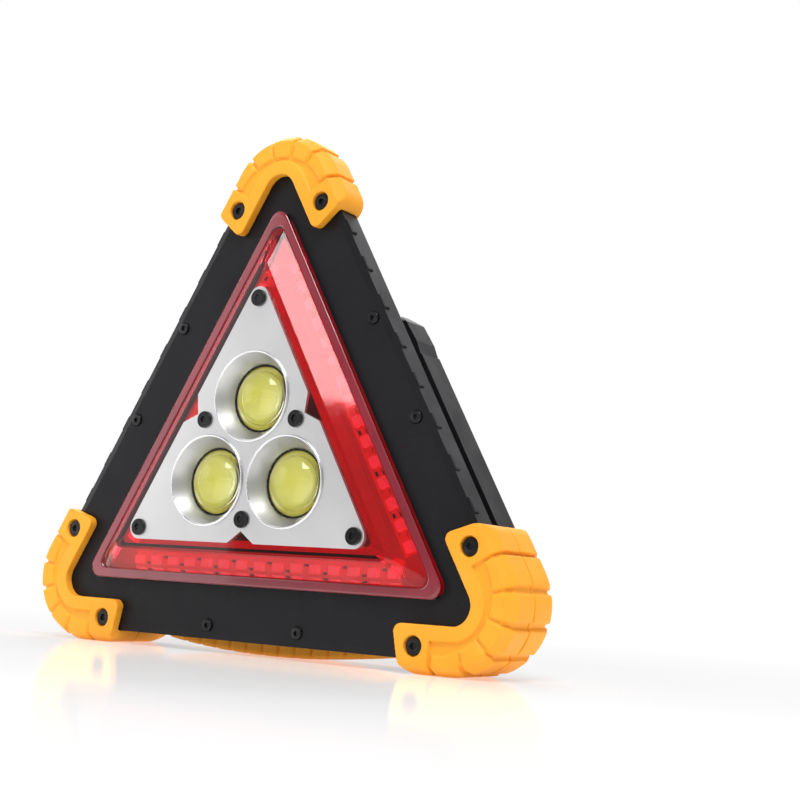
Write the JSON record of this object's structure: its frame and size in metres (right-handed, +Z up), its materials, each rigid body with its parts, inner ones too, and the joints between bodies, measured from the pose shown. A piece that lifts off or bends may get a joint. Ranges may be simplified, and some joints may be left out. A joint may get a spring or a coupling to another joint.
{
  "type": "warning triangle",
  "caption": "Battery warning triangle and work light: black triangular frame, raised red lens, silver reflector plate, orange corner guards, fold-out stand that becomes a carry handle.",
  "frame": {"origin": "centre of the bounding box at floor level, with the lamp standing on its lower corner guards", "axes": "+X to the right seen from the front, +Y towards the back, so the lamp shines along -Y, +Z up"},
  "size_m": [0.2018, 0.0408, 0.181],
  "materials": {
    "black_plastic": "satin, fine grain",
    "red_clear": "clear red moulding, glossy",
    "silver_plate": "satin metallised",
    "heat_sink_metal": "plain",
    "emitter_yellow": "phosphor",
    "clear_dome": "clear, polished",
    "strip_board": "white board",
    "red_light": "small red lights",
    "orange_rubber": "matte, soft",
    "black_steel": "black oxide",
    "bare_steel": "bare",
    "black_rubber": "matte",
    "red_rubber": "matte silicone",
    "green_board": "solder mask",
    "chip_black": "moulded",
    "cell_wrap": "shrink sleeve",
    "wire_red": "sleeve"
  },
  "bodies": {
    "lamp": {"front_bezel": "black_plastic", "rear_tray": "black_plastic", "battery_housing": "black_plastic", "rear_cover": "black_plastic", "red_lens": "red_clear", "reflector_plate": "silver_plate", "heat_sink": "heat_sink_metal", "cob_leds": "emitter_yellow", "dome_lenses": "clear_dome", "led_strips": "strip_board", "red_leds": "red_light", "corner_guard_top": "orange_rubber", "corner_guard_left": "orange_rubber", "corner_guard_right": "orange_rubber", "guard_screws": "black_steel", "bezel_screws": "black_steel", "plate_screws": "black_steel", "hinge_ear_screws": "black_steel", "cover_screws": "black_steel", "guard_nuts": "black_steel", "hinge_pins": "bare_steel", "housing_gasket": "black_rubber", "driver_board": "green_board", "charge_socket": "bare_steel", "push_switch": "black_plastic", "board_components": "chip_black", "battery_cells": "cell_wrap", "battery_contacts": "bare_steel", "led_wires": "wire_red"},
    "stand": {"stand_frame": "black_plastic", "stand_guard_left": "orange_rubber", "stand_guard_right": "orange_rubber", "stand_guard_screws": "black_steel", "grip": "orange_rubber"},
    "power_button": {"power_button": "red_rubber"},
    "charging_flap": {"charging_flap": "red_rubber"},
    "battery_door": {"battery_door": "black_plastic"}
  },
  "joints": [
    {"name": "stand_hinge", "type": "hinge", "parent": "lamp", "child": "stand", "pos_m": [0, 0.00923, 0.11], "axis": [1, 0, 0], "range_deg": [0, 180]},
    {"name": "button_press", "type": "slide", "parent": "lamp", "child": "power_button", "axis": [0, -1, 0], "range_m": [0, 0.001], "stiffness_N_per_m": 600, "springref_m": -0.0005},
    {"name": "flap_hinge", "type": "hinge", "parent": "lamp", "child": "charging_flap", "pos_m": [0.0079, 0.01943, 0.1071], "axis": [1, 0, 0], "range_deg": [0, 100]},
    {"name": "door_lift_off", "type": "slide", "parent": "lamp", "child": "battery_door", "axis": [0, 1, 0], "range_m": [0, 0.025]}
  ]
}
